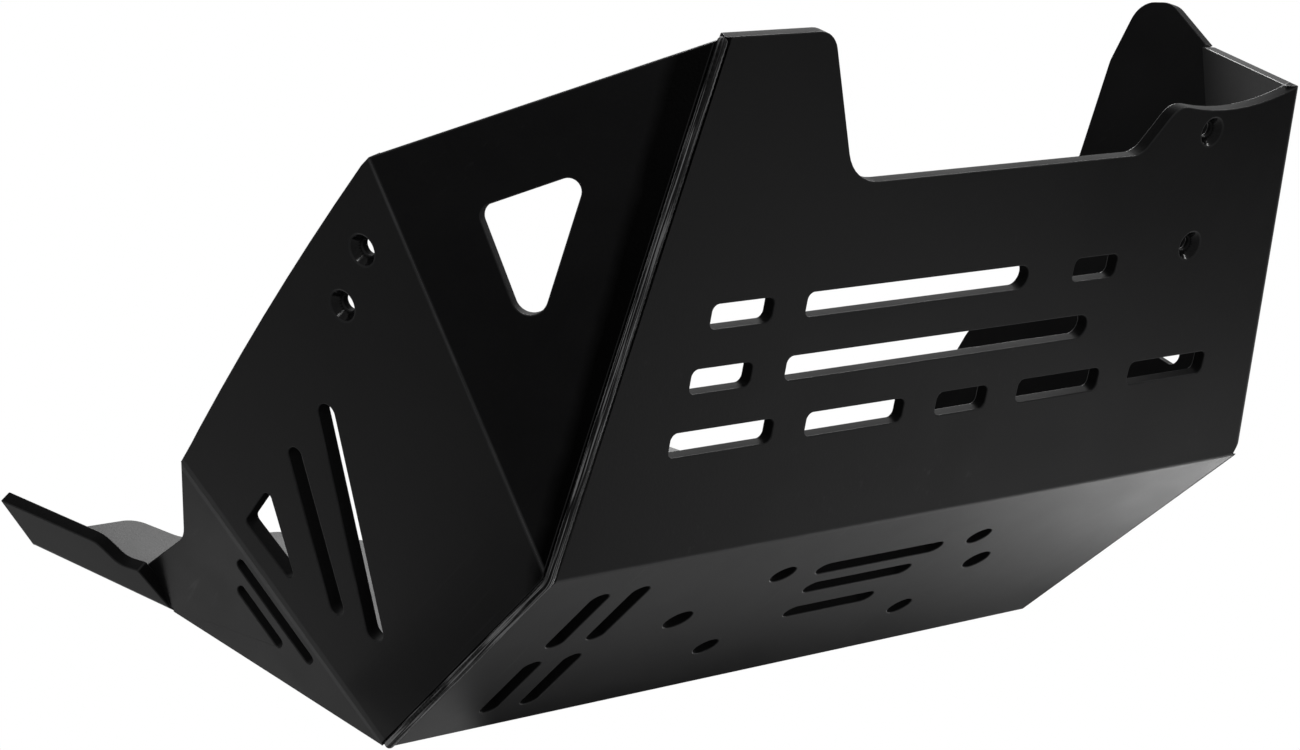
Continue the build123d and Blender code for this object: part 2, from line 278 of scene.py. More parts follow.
@dataclass(frozen=True)
class SurfaceEffects:
    """Builds the shared effects of the plastic: grain, unevenness, rubbing and bands along lines.

    Attributes:
        grain_per_m: how many grains there are in a metre.
        fine_times: how many finer grains there are to each.
        fine_share: the finer grains' height beside the others'.
        wave_per_m: how many slow waves there are in a metre.
        cloud_times: how many clouds there are to each wave.
        cloud_range: noise at which a cloud begins and is full.
        rub_per_m: how many rub marks lie side by side in a metre.
        rub_range: noise at which a rub mark begins and is full.
        patch_per_m: how many patches of rub marks there are in a metre.
        patch_range: noise at which a patch begins and is full.
        wander_per_m: how often the edge of a band wanders in a metre.
        wander: the least and the most that wandering does to the distance from the line.
        core: share of a band's reach that it fills evenly.
    """

    grain_per_m: float = 900.0
    fine_times: float = 2.7
    fine_share: float = 0.45
    wave_per_m: float = 11.0
    cloud_times: float = 2.3
    cloud_range: Pair = (0.35, 0.68)
    rub_per_m: float = 420.0
    rub_range: Pair = (0.66, 0.76)
    patch_per_m: float = 19.0
    patch_range: Pair = (0.5, 0.7)
    wander_per_m: float = 45.0
    wander: Pair = (0.8, 1.2)
    core: float = 0.72

    @staticmethod
    def start(
        name: str, numbers: dict[str, float], vectors: tuple[str, ...], outputs: tuple[str, ...]
    ) -> tuple[Tree, Node, Node]:
        """Start a shader node group that reads coordinates.

        Args:
            name: the group's name.
            numbers: its plain inputs and their defaults.
            vectors: names of its vector inputs besides the coordinates.
            outputs: names of its outputs, which are plain values.

        Returns:
            The group, its input node and its output node.
        """
        group = bpy.data.node_groups.new(name, "ShaderNodeTree")
        for title in ("Vector", *vectors):
            group.interface.new_socket(title, in_out="INPUT", socket_type="NodeSocketVector")
        for title, default in numbers.items():
            socket = group.interface.new_socket(title, in_out="INPUT", socket_type="NodeSocketFloat")
            socket.default_value = default
        for title in outputs:
            group.interface.new_socket(title, in_out="OUTPUT", socket_type="NodeSocketFloat")
        return group, group.nodes.new("NodeGroupInput"), group.nodes.new("NodeGroupOutput")

    def grain(self) -> Tree:
        """Build the fine grain of the sheet's skin.

        Returns:
            A group that puts out the grain's height.
        """
        group, entry, leave = self.start("extruded_grain", {"Per Metre": self.grain_per_m}, (), ("Height",))
        coords, scale = entry.outputs["Vector"], entry.outputs["Per Metre"]
        coarse = noise(group, coords, scale, Detail=2.0, Roughness=0.5)
        closer = maths(group, "MULTIPLY", scale, self.fine_times)
        fine = noise(group, coords, closer, Detail=1.0, Roughness=0.4)
        link(group, maths(group, "MULTIPLY_ADD", fine, self.fine_share, coarse), leave.inputs["Height"])
        return group

    def unevenness(self) -> Tree:
        """Build the slow unevenness of rolled sheet.

        Returns:
            A group that puts out a slow height and a cloudy mask.
        """
        group, entry, leave = self.start(
            "rolled_unevenness", {"Per Metre": self.wave_per_m}, (), ("Height", "Cloud")
        )
        coords, scale = entry.outputs["Vector"], entry.outputs["Per Metre"]
        slow = noise(group, coords, scale, Detail=1.0, Roughness=0.4)
        closer = maths(group, "MULTIPLY", scale, self.cloud_times)
        cloud = noise(group, coords, closer, Detail=4.0, Roughness=0.6, Distortion=0.4)
        link(group, slow, leave.inputs["Height"])
        link(group, spread(group, cloud, *self.cloud_range), leave.inputs["Cloud"])
        return group

    def rubbing(self) -> Tree:
        """Build faint rub marks that run along the machine.

        Returns:
            A group that puts out a mask of the marks.
        """
        group, entry, leave = self.start("handling_rubs", {"Per Metre": self.rub_per_m}, (), ("Mask",))
        coords = entry.outputs["Vector"]
        turned = add_node(group, "ShaderNodeMapping", Rotation=(0.12, 0.08, 0.5), Scale=(0.012, 1.0, 1.0))
        link(group, coords, turned.inputs["Vector"])
        lines = noise(group, turned.outputs[0], entry.outputs["Per Metre"], Detail=1.0, Roughness=0.5)
        patches = noise(group, coords, self.patch_per_m, Detail=2.0)
        marks = spread(group, lines, *self.rub_range)
        where = spread(group, patches, *self.patch_range)
        link(group, maths(group, "MULTIPLY", marks, where), leave.inputs["Mask"])
        return group

    def line_band(self) -> Tree:
        """Build a band along a line, for the painted shade beside a seam and for the painted highlight along
        a slight crease.

        Returns:
            A group that puts out a mask, full at the line through Start along Direction.
        """
        group, entry, leave = self.start("line_band", {"Reach": 0.01}, ("Start", "Direction"), ("Mask",))
        coords = entry.outputs["Vector"]
        away = add_node(group, "ShaderNodeVectorMath", operation="SUBTRACT")
        link(group, coords, away.inputs[0])
        link(group, entry.outputs["Start"], away.inputs[1])
        across = add_node(group, "ShaderNodeVectorMath", operation="CROSS_PRODUCT")
        link(group, away.outputs[0], across.inputs[0])
        link(group, entry.outputs["Direction"], across.inputs[1])
        far = add_node(group, "ShaderNodeVectorMath", operation="LENGTH")
        link(group, across.outputs[0], far.inputs[0])
        share = maths(group, "DIVIDE", far.outputs["Value"], entry.outputs["Reach"])
        wander = noise(group, coords, self.wander_per_m, Detail=3.0)
        share = maths(group, "MULTIPLY", share, spread(group, wander, 0.0, 1.0, *self.wander))
        link(group, spread(group, share, self.core, 1.0, 1.0, 0.0), leave.inputs["Mask"])
        return group


@dataclass
class Effects:
    """The built effect groups, handed to every finish.

    Attributes:
        grain: the fine grain of the skin.
        unevenness: the slow unevenness of rolled sheet.
        rubbing: faint rub marks.
        line_band: a band along a line.
    """

    grain: Tree
    unevenness: Tree
    rubbing: Tree
    line_band: Tree

    @staticmethod
    def place(tree: Tree, group: Tree, coords: Socket) -> Node:
        """Put one effect into a material.

        Args:
            tree: the material's node tree.
            group: the effect.
            coords: the coordinates that it reads.

        Returns:
            The group node.
        """
        node = add_node(tree, "ShaderNodeGroup", node_tree=group)
        link(tree, coords, node.inputs["Vector"])
        return node

    def band(self, tree: Tree, coords: Socket, line: Line, reach: float) -> Socket:
        """Put a band along a line into a material.

        Args:
            tree: the material's node tree.
            coords: the coordinates that it reads.
            line: two points of the line, in metres.
            reach: how far the band goes to each side.

        Returns:
            The band's mask.
        """
        start, end = (Vector(point) for point in line)
        node = self.place(tree, self.line_band, coords)
        node.inputs["Start"].default_value = start
        node.inputs["Direction"].default_value = (end - start).normalized()
        node.inputs["Reach"].default_value = reach
        return node.outputs["Mask"]


@dataclass(frozen=True)
class SheetFinish:
    """Satin black polyethylene sheet, with routed walls, painted shade beside its seam, and edges and folds
    lightened partly by wear and partly as a painted highlight.

    Attributes:
        name: the material's name.
        seam: two points of the line beside which the skin is darkened as painted shade, if there is one.
        crease: two points of a slight crease, along which a light line is painted as a highlight, if there
            is one.
        black: the skin's colour.
        bloom: the colour of its slightly paler clouds.
        bloom_share: how much the clouds show.
        seam_shade_colour: the skin's colour beside the seam, a painted shade.
        seam_shade_reach: how far the painted shade reaches from the seam, in metres.
        seam_band_gloss: how much smoother the skin is in the band beside the seam.
        wear_and_highlight: the lighter colour of rub marks, and of broken edges and stretched folds, where
            it is partly wear and partly a painted highlight.
        wear_and_highlight_share: how much that colour shows on the edges and folds between the clouds and in
            them.
        crease_reach: how far the crease goes to each side.
        crease_highlight_share: how much of the painted highlight shows along the crease.
        rub_share: how much the rub marks are burnished.
        rub_gloss: how much smoother the rub marks are.
        routed: the colour of the walls that the cutter left, a little darker than the skin: partly their own
            tone, partly painted shade in slots and holes.
        furrow: the colour of the cutter's furrows.
        furrow_per_m: how many furrows there are in a metre.
        furrow_depth: the furrows' height beside the grain's.
        routed_rough: how much rougher the walls are.
        rough: the skin's roughness between its clouds and in them.
        shine: the specular level of the plastic.
        grain_bump: strength and depth of the grain.
        wave_bump: strength and depth of the slow waves.
    """

    name: str
    seam: Line | None = None
    crease: Line | None = None
    black: Triple = (0.0048, 0.0048, 0.005)
    bloom: Triple = (0.0066, 0.0066, 0.0068)
    bloom_share: float = 0.6
    seam_shade_colour: Triple = (0.0004, 0.0004, 0.0004)
    seam_shade_reach: float = 0.019
    seam_band_gloss: float = 0.12
    wear_and_highlight: Triple = (0.06, 0.06, 0.061)
    wear_and_highlight_share: Pair = (0.45, 0.9)
    crease_reach: float = 0.003
    crease_highlight_share: float = 0.3
    rub_share: float = 0.06
    rub_gloss: float = 0.08
    routed: Triple = (0.004, 0.004, 0.0042)
    furrow: Triple = (0.001, 0.001, 0.001)
    furrow_per_m: float = 650.0
    furrow_depth: float = 1.6
    routed_rough: float = 0.35
    rough: Pair = (0.38, 0.42)
    shine: float = 0.048
    grain_bump: Pair = (0.16, 0.0002)
    wave_bump: Pair = (0.05, 0.003)

    def build(self, effects: Effects) -> bpy.types.Material:
        """Make the material.

        Args:
            effects: the shared effect groups.

        Returns:
            The material.
        """
        material, tree, shader = new_material(self.name, self.shine)
        coords = object_coords(tree)
        grain = effects.place(tree, effects.grain, coords).outputs["Height"]
        slow = effects.place(tree, effects.unevenness, coords)
        cloud = slow.outputs["Cloud"]
        rubs = effects.place(tree, effects.rubbing, coords).outputs["Mask"]
        routed = read_mark(tree, Mark.ROUTED)
        furrows = noise(tree, coords, self.furrow_per_m, Detail=2.0)
        rough = spread(tree, cloud, 0.0, 1.0, *self.rough)
        rough = maths(tree, "MULTIPLY_ADD", routed, self.routed_rough, rough)

        skin = blend_colour(tree, maths(tree, "MULTIPLY", cloud, self.bloom_share), self.black, self.bloom)
        skin = blend_colour(tree, maths(tree, "MULTIPLY", rubs, self.rub_share), skin, self.wear_and_highlight)
        # Painted shade: beside the seam the skin is darkened, and made a little smoother.
        if self.seam:
            seam_shade = effects.band(tree, coords, self.seam, self.seam_shade_reach)
            skin = blend_colour(tree, seam_shade, skin, self.seam_shade_colour)
            rough = maths(tree, "MULTIPLY_ADD", seam_shade, -self.seam_band_gloss, rough)
        # Painted highlight: a light line along the crease.
        if self.crease:
            fold = effects.band(tree, coords, self.crease, self.crease_reach)
            skin = blend_colour(tree, maths(tree, "MULTIPLY", fold, self.crease_highlight_share), skin, self.wear_and_highlight)
        # Cut walls are darker than the skin, partly their own tone and partly painted shade in slots and
        # holes.
        walls = blend_colour(tree, furrows, self.furrow, self.routed)
        colour = blend_colour(tree, routed, skin, walls)
        # Edges and folds are lightened, partly as wear and partly as a painted highlight.
        wear_and_highlight_mask = spread(tree, cloud, 0.0, 1.0, *self.wear_and_highlight_share)
        wear_and_highlight_mask = maths(tree, "MULTIPLY", read_mark(tree, Mark.WEAR_AND_HIGHLIGHT), wear_and_highlight_mask)
        link(tree, blend_colour(tree, wear_and_highlight_mask, colour, self.wear_and_highlight), shader.inputs["Base Color"])
        rough = maths(tree, "MULTIPLY_ADD", rubs, -self.rub_gloss, rough)
        link(tree, rough, shader.inputs["Roughness"])

        ridges = maths(tree, "MULTIPLY", maths(tree, "MULTIPLY", furrows, routed), self.furrow_depth)
        fine = bump(tree, maths(tree, "ADD", grain, ridges), self.grain_bump)
        link(tree, bump(tree, slow.outputs["Height"], self.wave_bump, fine), shader.inputs["Normal"])
        return material


@dataclass(frozen=True)
class SeatFinish:
    """Countersunk screw seats, left glossy, faintly marked by the cutter and darkened as painted shade.

    Attributes:
        black: the seat's colour, darker than the skin as painted shade in the countersinks.
        ring: the colour of the cutter's marks.
        ring_range: height in the grain at which a mark begins and is full.
        rough: the seat's roughness low and high in the grain.
        rough_range: heights in the grain that give those.
        shine: the specular level of the plastic.
        grain_bump: strength and depth of the grain.
    """

    black: Triple = (0.0015, 0.0015, 0.0016)
    ring: Triple = (0.005, 0.005, 0.0052)
    ring_range: Pair = (0.5, 0.9)
    rough: Pair = (0.1, 0.23)
    rough_range: Pair = (0.4, 1.0)
    shine: float = 0.07
    grain_bump: Pair = (0.2, 0.0002)

    def build(self, effects: Effects) -> bpy.types.Material:
        """Make the material.

        Args:
            effects: the shared effect groups.

        Returns:
            The material.
        """
        material, tree, shader = new_material("seat_glossy_black", self.shine)
        grain = effects.place(tree, effects.grain, object_coords(tree)).outputs["Height"]
        # Painted shade: the seat is darker than the skin, with the cutter's lighter marks on it.
        colour = blend_colour(tree, spread(tree, grain, *self.ring_range), self.black, self.ring)
        link(tree, colour, shader.inputs["Base Color"])
        link(tree, spread(tree, grain, *self.rough_range, *self.rough), shader.inputs["Roughness"])
        link(tree, bump(tree, grain, self.grain_bump), shader.inputs["Normal"])
        return material


@dataclass(frozen=True)
class BeadFinish:
    """Melted filler of the weld beads, with fine ridges along the run whose light lines are painted
    highlights.

    Attributes:
        black: the bead's colour between the highlight lines.
        painted_highlight: its colour on the lines, a painted highlight.
        lines: how many painted highlight lines lie round the bead.
        line_range: noise at which a line begins and is full.
        breaks_per_m: how often the lines change in a metre of the run.
        grain_share: the grain's height beside the lines'.
        rough: the bead's roughness between its clouds and in them.
        shine: the specular level of the plastic.
        line_bump: strength and depth of the lines.
    """

    black: Triple = (0.0035, 0.0035, 0.0037)
    painted_highlight: Triple = (0.17, 0.17, 0.172)
    lines: float = 11.0
    line_range: Pair = (0.46, 0.62)
    breaks_per_m: float = 30.0
    grain_share: float = 0.3
    rough: Pair = (0.35, 0.47)
    shine: float = 0.08
    line_bump: Pair = (0.5, 0.0003)

    def build(self, effects: Effects) -> bpy.types.Material:
        """Make the material.

        Args:
            effects: the shared effect groups.

        Returns:
            The material.
        """
        material, tree, shader = new_material("bead_melted_black", self.shine)
        coords = object_coords(tree)
        cloud = effects.place(tree, effects.unevenness, coords).outputs["Cloud"]
        grain = effects.place(tree, effects.grain, coords).outputs["Height"]
        # Painted highlights: light lines along the bead, which also raise faint ridges through the bump.
        streak_coords = tree.nodes.new("ShaderNodeCombineXYZ")
        link(tree, maths(tree, "MULTIPLY", read_mark(tree, Mark.RUN), self.breaks_per_m), streak_coords.inputs["X"])
        link(tree, maths(tree, "MULTIPLY", read_mark(tree, Mark.ROUND), self.lines), streak_coords.inputs["Y"])
        highlight_streaks = noise(tree, streak_coords.outputs[0], 1.0, noise_dimensions="2D", Detail=2.0)
        lines = spread(tree, highlight_streaks, *self.line_range)
        colour = blend_colour(tree, maths(tree, "MULTIPLY", lines, lines), self.black, self.painted_highlight)
        link(tree, colour, shader.inputs["Base Color"])
        link(tree, spread(tree, cloud, 0.0, 1.0, *self.rough), shader.inputs["Roughness"])
        height = maths(tree, "MULTIPLY_ADD", grain, self.grain_share, lines)
        link(tree, bump(tree, height, self.line_bump), shader.inputs["Normal"])
        return material


@dataclass(frozen=True)
class Panel:
    """One flat panel of a sheet, by its outer face.

    Attributes:
        origin: a point on the outer face, in metres.
        outward: direction in which the outer face looks.
    """

    origin: Triple
    outward: Triple

    def depth(self, point: Vector) -> float:
        """Return how far a point lies behind the outer face."""
        return (Vector(self.origin) - point).dot(Vector(self.outward))

    def along(self, direction: Vector) -> float:
        """Return the cosine between a direction and the outer face's own."""
        return direction.dot(Vector(self.outward))


@dataclass
class FoldedSheet:
    """A folded sheet, kept to its CAD shape and given broken edges.

    Attributes:
        node: the CAD node that it stands for.
        panels: its flat panels.
        screws: the middle of its pair of countersunk screw holes, in metres.
        thickness: the sheet's thickness in metres.
        edge: how far its edges are broken.
        sharp: the angle past which an edge is broken, in degrees.
        edge_wear_and_highlight: how much the broken edges are lightened, partly as wear and partly as a
            painted highlight.
        near: how far a face of the skin may lie from its panel's plane.
        fold_depth: how deep a fold and a screw seat reach behind the outer face.
        fold_lean: cosine past which a fold or a screw seat still leans to a panel.
        seat_reach: how far from their middle the screw seats reach.
        slack: how far a point may leave the CAD surface, as a share of the broken edge.
    """

    node: str
    panels: tuple[Panel, ...]
    screws: Triple
    thickness: float = 0.006
    edge: float = 0.0005
    sharp: float = 28.0
    edge_wear_and_highlight: float = 0.35
    near: float = 0.0003
    fold_depth: float = 0.003
    fold_lean: float = 0.5
    seat_reach: float = 0.04
    slack: float = 0.8

    def zone(self, face: bmesh.types.BMFace) -> tuple[Zone, float]:
        """Tell what a face is, and how much it is burnished.

        Args:
            face: a face of the unbroken sheet.

        Returns:
            Its zone, and a lightening, partly wear and partly painted highlight, that is strongest along the
            middle of a fold.
        """
        middle = face.calc_center_median()
        for panel in self.panels:
            depth = panel.depth(middle)
            level = abs(panel.along(face.normal)) > PARALLEL
            if level and min(abs(depth), abs(depth - self.thickness)) < self.near:
                return Zone.SKIN, 0.0
        leaning = [
            Vector(panel.outward)
            for panel in self.panels
            if panel.along(face.normal) > self.fold_lean
            and -self.near < panel.depth(middle) < self.fold_depth
        ]
        if len(leaning) > 1:
            one, other = leaning[:2]
            lean = abs(face.normal.dot(one) - face.normal.dot(other)) / (1.0 - one.dot(other))
            return Zone.FOLD, max(0.0, 1.0 - lean)
        seat = len(leaning) == 1 and (middle - Vector(self.screws)).length < self.seat_reach
        return (Zone.SEAT if seat else Zone.ROUTED), 0.0

    def settle(self, bm: bmesh.types.BMesh, source: bpy.types.Mesh) -> None:
        """Bring corner points that the breaking of edges threw off back to the CAD surface.

        Args:
            bm: the sheet with its edges broken.
            source: the CAD node's mesh.
        """
        points = [vert.co for vert in source.vertices]
        surface = BVHTree.FromPolygons(points, [face.vertices for face in source.polygons])
        for vert in bm.verts:
            place, _, _, distance = surface.find_nearest(vert.co)
            if distance > self.slack * self.edge:
                vert.co = place

    def shape(self) -> bpy.types.Mesh:
        """Copy the CAD node, join its triangles into panels and break its edges.

        Returns:
            The sheet's mesh, with its zones marked.
        """
        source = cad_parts[self.node].data
        bm = bmesh.new()
        bm.from_mesh(source)
        bmesh.ops.remove_doubles(bm, verts=bm.verts, dist=SAME_PLACE)
        bmesh.ops.dissolve_limit(
            bm, angle_limit=SAME_PLANE, use_dissolve_boundaries=False, verts=bm.verts, edges=bm.edges
        )
        zones = bm.faces.layers.int.new("zone")
        wear_and_highlight_layer = bm.faces.layers.float.new("wear_and_highlight_layer")
        kinds = list(Zone)
        for face in bm.faces:
            kind, wear_and_highlight_amount = self.zone(face)
            face.smooth = True
            face[zones] = kinds.index(kind)
            face[wear_and_highlight_layer] = wear_and_highlight_amount
        sharp = math.radians(self.sharp)
        corners = [e for e in bm.edges if len(e.link_faces) == 2 and e.calc_face_angle() > sharp]
        for e in corners:
            e.smooth = e.is_convex
        broken = bmesh.ops.bevel(
            bm,
            geom=[e for e in corners if e.is_convex],
            offset=self.edge,
            offset_type="OFFSET",
            segments=2,
            profile=0.5,
            affect="EDGES",
            clamp_overlap=False,
            loop_slide=True,
        )
        # Broken edges take the lightening that is partly wear and partly painted highlight.
        for face in broken["faces"]:
            face.smooth = True
            face[zones] = kinds.index(Zone.EDGE)
            face[wear_and_highlight_layer] = self.edge_wear_and_highlight
        self.settle(bm, source)
        routed = bm.loops.layers.float.new(Mark.ROUTED.value)
        wear_and_highlight = bm.loops.layers.float.new(Mark.WEAR_AND_HIGHLIGHT.value)
        for face in bm.faces:
            kind = kinds[face[zones]]
            face.material_index = int(kind is Zone.SEAT)
            for loop in face.loops:
                loop[routed] = float(kind is Zone.ROUTED)
                loop[wear_and_highlight] = face[wear_and_highlight_layer]
        bm.faces.layers.int.remove(zones)
        bm.faces.layers.float.remove(wear_and_highlight_layer)
        mesh = bpy.data.meshes.new(f"{self.node}_sheet")
        bm.to_mesh(mesh)
        bm.free()
        return mesh

    def build(self, finish: bpy.types.Material, seat: bpy.types.Material) -> bpy.types.Object:
        """Make the dressed sheet and put it in place of its CAD node.

        Args:
            finish: the sheet's material.
            seat: the material of its screw seats.

        Returns:
            The piece.
        """
        piece = bpy.data.objects.new(f"{self.node}_sheet", self.shape())
        piece.data.materials.append(finish)
        piece.data.materials.append(seat)
        bpy.context.scene.collection.objects.link(piece)
        smooth = piece.modifiers.new("even_normals", "WEIGHTED_NORMAL")
        smooth.keep_sharp = True
        smooth.weight = 100
        seen = piece.evaluated_get(bpy.context.evaluated_depsgraph_get())
        mesh = bpy.data.meshes.new_from_object(seen)
        piece.modifiers.clear()
        piece.data = mesh
        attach(piece, "root")
        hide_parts(self.node)
        log.info("%s: %d faces", piece.name, len(mesh.polygons))
        return piece


@dataclass
class WeldBead:
    """A hand-laid run of filler in the groove between two sheets.

    Attributes:
        node: the CAD node that it stands for.
        path: corners of its run, in metres.
        radius: the bead's radius.
        turn: radius of the run's bends.
        ripple: how much the ripples swell the bead, as a share of its radius.
        pitch: length of one ripple.
        step: distance between two rings of the bead.
        bend_points: how many points a bend has.
        sides: how many points a ring has.
        sway_per_m: how often the hand sways in a metre.
        sway_phase: how far a sway shifts the ripples.
        sway_size: how far a sway swells the bead, as a share of its radius.
    """

    node: str
    path: tuple[Triple, ...]
    radius: float = 0.002
    turn: float = 0.008
    ripple: float = 0.022
    pitch: float = 0.0026
    step: float = 0.0005
    bend_points: int = 10
    sides: int = 20
    sway_per_m: float = 70.0
    sway_phase: float = 9.0
    sway_size: float = 0.12

    @staticmethod
    def note(tree: Tree, curve: Socket, value: Socket, mark: Mark) -> Socket:
        """Keep a value on the points of a curve.

        Args:
            tree: the tree that takes the node.
            curve: the curve.
            value: the value.
            mark: the name that it is kept under.

        Returns:
            The marked curve.
        """
        kind = "GeometryNodeStoreNamedAttribute"
        node = add_node(tree, kind, data_type="FLOAT", domain="POINT", Name=mark.value)
        link(tree, curve, node.inputs["Geometry"])
        link(tree, value, node.inputs["Value"])
        return node.outputs[0]

    def swelling(self, tree: Tree, entry: Node, along: Socket) -> Socket:
        """Work out how thick the bead is along its run, with round ends.

        Args:
            tree: the tree that takes the nodes.
            entry: the tree's input node.
            along: the distance along the run.

        Returns:
            The thickness, as a share of the bead's radius.
        """
        whole = tree.nodes.new("GeometryNodeSplineLength").outputs["Length"]
        to_end = maths(tree, "MINIMUM", along, maths(tree, "SUBTRACT", whole, along))
        share = maths(tree, "DIVIDE", to_end, entry.outputs["Radius"], clamp=True)
        gone = maths(tree, "SUBTRACT", 1.0, share)
        taper = maths(tree, "SUBTRACT", BLUNT, maths(tree, "MULTIPLY", gone, gone))
        taper = maths(tree, "SQRT", taper)
        sway = add_node(tree, "ShaderNodeTexNoise", noise_dimensions="1D", Scale=self.sway_per_m, Detail=2.0)
        link(tree, along, sway.inputs["W"])
        phase = maths(tree, "DIVIDE", maths(tree, "MULTIPLY", along, math.tau), entry.outputs["Pitch"])
        phase = maths(tree, "MULTIPLY_ADD", sway.outputs[0], self.sway_phase, phase)
        swell = maths(tree, "MULTIPLY", maths(tree, "SINE", phase), entry.outputs["Ripple"])
        drift = maths(tree, "SUBTRACT", sway.outputs[0], 0.5)
        uneven = maths(tree, "MULTIPLY_ADD", drift, self.sway_size, 1.0)
        return maths(tree, "MULTIPLY", maths(tree, "ADD", uneven, swell), taper)

    def tree(self, finish: bpy.types.Material) -> tuple[Tree, dict[str, str]]:
        """Build the node tree that lays a rippled bead along a curve.

        Args:
            finish: the bead's material.

        Returns:
            The tree, and the identifiers of its inputs by name.
        """
        tree = bpy.data.node_groups.new(f"{self.node}_lay", "GeometryNodeTree")
        tree.interface.new_socket("Geometry", in_out="INPUT", socket_type="NodeSocketGeometry")
        names: dict[str, str] = {}
        for title in ("Radius", "Turn", "Ripple", "Pitch", "Step"):
            socket = tree.interface.new_socket(title, in_out="INPUT", socket_type="NodeSocketFloat")
            names[title] = socket.identifier
        tree.interface.new_socket("Geometry", in_out="OUTPUT", socket_type="NodeSocketGeometry")
        entry = tree.nodes.new("NodeGroupInput")
        leave = tree.nodes.new("NodeGroupOutput")

        bend = add_node(tree, "GeometryNodeFilletCurve", mode="POLY", Limit_Radius=True)
        bend.inputs["Count"].default_value = self.bend_points
        link(tree, entry.outputs["Geometry"], bend.inputs["Curve"])
        link(tree, entry.outputs["Turn"], bend.inputs["Radius"])
        rings = add_node(tree, "GeometryNodeResampleCurve", mode="LENGTH")
        link(tree, bend.outputs[0], rings.inputs["Curve"])
        link(tree, entry.outputs["Step"], rings.inputs["Length"])
        along = tree.nodes.new("GeometryNodeSplineParameter").outputs["Length"]
        run = self.note(tree, rings.outputs[0], along, Mark.RUN)

        circle = add_node(tree, "GeometryNodeCurvePrimitiveCircle", Resolution=self.sides)
        link(tree, entry.outputs["Radius"], circle.inputs["Radius"])
        turned = tree.nodes.new("GeometryNodeSplineParameter").outputs["Factor"]
        there_and_back = maths(tree, "ABSOLUTE", maths(tree, "MULTIPLY_ADD", turned, 2.0, -1.0))
        section = self.note(tree, circle.outputs["Curve"], there_and_back, Mark.ROUND)

        tube = add_node(tree, "GeometryNodeCurveToMesh", Fill_Caps=True)
        link(tree, run, tube.inputs["Curve"])
        link(tree, section, tube.inputs["Profile Curve"])
        link(tree, self.swelling(tree, entry, along), tube.inputs["Scale"])
        soft = add_node(tree, "GeometryNodeSetShadeSmooth", Shade_Smooth=True)
        link(tree, tube.outputs[0], soft.inputs["Geometry"])
        solid = tree.nodes.new("GeometryNodeRealizeInstances")
        link(tree, soft.outputs[0], solid.inputs[0])
        dressed = add_node(tree, "GeometryNodeSetMaterial", Material=finish)
        link(tree, solid.outputs[0], dressed.inputs["Geometry"])
        link(tree, dressed.outputs[0], leave.inputs[0])
        return tree, names

    def build(self, finish: bpy.types.Material) -> bpy.types.Object:
        """Lay the bead and put it in place of its CAD node.

        Args:
            finish: the bead's material.

        Returns:
            The piece.
        """
        curve = bpy.data.curves.new(f"{self.node}_run", "CURVE")
        curve.dimensions = "3D"
        spline = curve.splines.new("POLY")
        spline.points.add(len(self.path) - 1)
        for point, place in zip(spline.points, self.path):
            point.co = (*place, 1.0)
        run = bpy.data.objects.new(f"{self.node}_run", curve)
        bpy.context.scene.collection.objects.link(run)
        tree, names = self.tree(finish)
        lay = run.modifiers.new("lay", "NODES")
        lay.node_group = tree
        values = {
            "Radius": self.radius,
            "Turn": self.turn,
            "Ripple": self.ripple,
            "Pitch": self.pitch,
            "Step": self.step,
        }
        for title, value in values.items():
            lay[names[title]] = value
        seen = run.evaluated_get(bpy.context.evaluated_depsgraph_get())
        mesh = bpy.data.meshes.new_from_object(seen)
        bpy.data.objects.remove(run)
        piece = bpy.data.objects.new(f"{self.node}_bead", mesh)
        bpy.context.scene.collection.objects.link(piece)
        if not mesh.materials:
            mesh.materials.append(finish)
        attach(piece, "root")
        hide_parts(self.node)
        log.info("%s: %d faces", piece.name, len(mesh.polygons))
        return piece


@dataclass(frozen=True)
class SoftBox:
    """A soft square lamp.

    Attributes:
        name: the lamp's name.
        place: where it hangs, in metres.
        aim: the point that it faces.
        size: length of its side.
        power: its power in watts.
    """

    name: str
    place: Triple
    aim: Triple
    size: float
    power: float

    def build(self) -> bpy.types.Object:
        """Hang the lamp.

        Returns:
            The lamp object.
        """
        data = bpy.data.lights.new(self.name, "AREA")
        data.size = self.size
        data.energy = self.power
        lamp = bpy.data.objects.new(self.name, data)
        lamp.location = self.place
        lamp.rotation_euler = (Vector(self.aim) - Vector(self.place)).to_track_quat("-Z", "Y").to_euler()
        bpy.context.scene.collection.objects.link(lamp)
        return lamp


@dataclass(frozen=True)
class DarkCard:
    """A black card that keeps the white surroundings out of a reflection.

    Attributes:
        name: the card's name.
        place: its middle, in metres.
        aim: the point that it faces.
        width: its breadth.
        height: its height.
    """

    name: str
    place: Triple
    aim: Triple
    width: float
    height: float

    def build(self, finish: bpy.types.Material) -> bpy.types.Object:
        """Set the card up where only reflections show it.

        Args:
            finish: the card's material.

        Returns:
            The card object.
        """
        middle = Vector(self.place)
        turn = (Vector(self.aim) - middle).to_track_quat("Z", "Y")
        wide, high = self.width / 2, self.height / 2
        corners = ((-wide, -high), (wide, -high), (wide, high), (-wide, high))
        mesh = bpy.data.meshes.new(self.name)
        mesh.from_pydata([middle + turn @ Vector((x, y, 0.0)) for x, y in corners], [], [(0, 1, 2, 3)])
        mesh.materials.append(finish)
        card = bpy.data.objects.new(self.name, mesh)
        card.visible_camera = False
        card.visible_diffuse = False
        card.visible_shadow = False
        bpy.context.scene.collection.objects.link(card)
        return card


